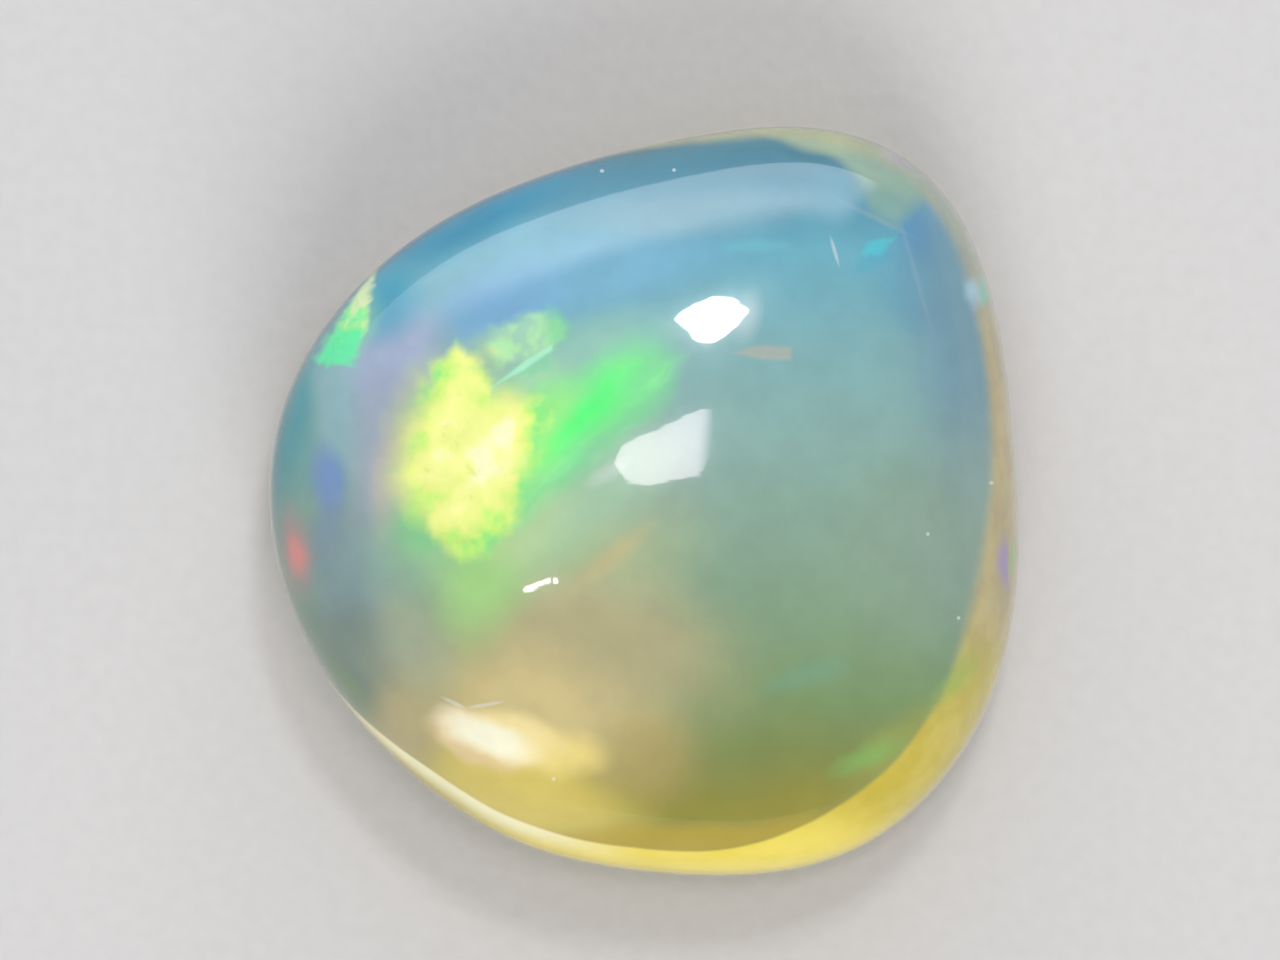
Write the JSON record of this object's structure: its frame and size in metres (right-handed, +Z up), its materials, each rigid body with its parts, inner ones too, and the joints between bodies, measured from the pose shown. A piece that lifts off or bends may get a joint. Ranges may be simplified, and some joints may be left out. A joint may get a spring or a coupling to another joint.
{
  "type": "opal cabochon",
  "caption": "Polished freeform opal cabochon: a rounded-triangle stone with a low smooth dome, a soft girdle and a flat base to rest or glue it on.",
  "frame": {"origin": "middle of the stone's footprint, on the surface that its flat base rests on", "axes": "+Z up out of the dome, +X towards the straightest side of the outline, +Y a quarter turn anticlockwise from +X as seen from above"},
  "size_m": [0.0132, 0.0132, 0.0054],
  "materials": {
    "opal": "milky translucent opal with a glossy polish, blue-green above, amber at the rim, with green, yellow and red fire"
  },
  "bodies": {
    "root": {"opal_cabochon": "opal"}
  },
  "joints": []
}
